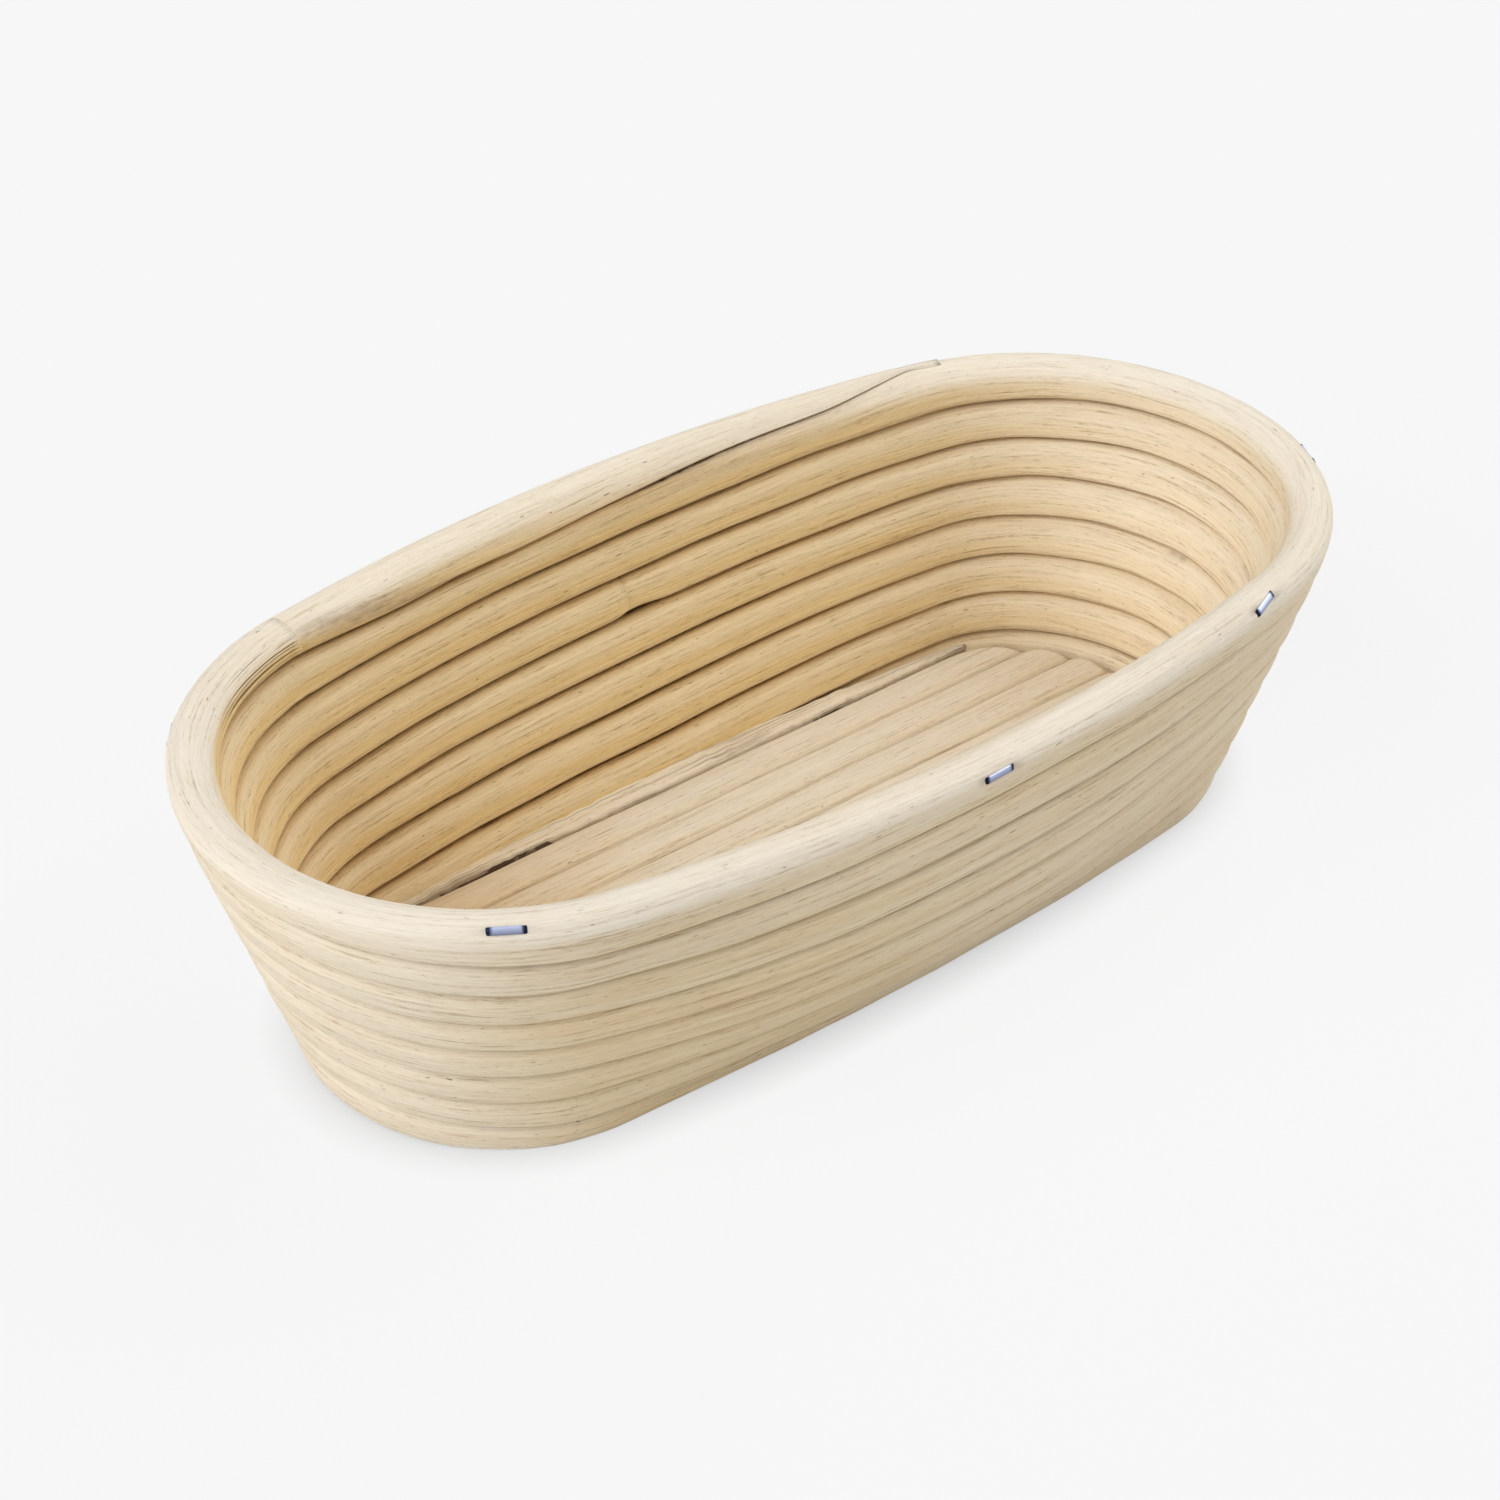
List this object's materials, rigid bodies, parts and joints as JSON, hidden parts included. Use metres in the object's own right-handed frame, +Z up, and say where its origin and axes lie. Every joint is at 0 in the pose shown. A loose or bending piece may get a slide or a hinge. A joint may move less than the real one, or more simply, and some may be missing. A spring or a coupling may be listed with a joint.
{
  "type": "oval proofing basket",
  "caption": "Oval proofing basket wound from round rattan cane, with an outward-leaning ribbed wall, a floor of lengthwise canes and wire staples round its rim.",
  "frame": {"origin": "middle of the foot, on the surface that the basket stands on", "axes": "+X along the basket, +Y to the long side where the winding climbs and ends, +Z up"},
  "size_m": [0.2996, 0.156, 0.0785],
  "materials": {
    "rattan_wall": "peeled rattan core, sanded, unsealed",
    "rattan_rim": "peeled rattan core, planed pale",
    "rattan_floor": "peeled rattan core, sanded, unsealed",
    "steel_wire": "galvanised flat staple wire"
  },
  "bodies": {
    "root": {"wall_cane_lower": "rattan_wall", "wall_cane_upper": "rattan_wall", "closing_strip": "rattan_rim", "floor_slat_1": "rattan_floor", "floor_slat_2": "rattan_floor", "floor_slat_3": "rattan_floor", "floor_slat_4": "rattan_floor", "floor_slat_5": "rattan_floor", "floor_slat_6": "rattan_floor", "floor_slat_7": "rattan_floor", "floor_edge_strip_back": "rattan_floor", "floor_edge_strip_front": "rattan_floor", "rim_staples": "steel_wire", "wall_staples": "steel_wire", "floor_staples": "steel_wire"}
  },
  "joints": []
}
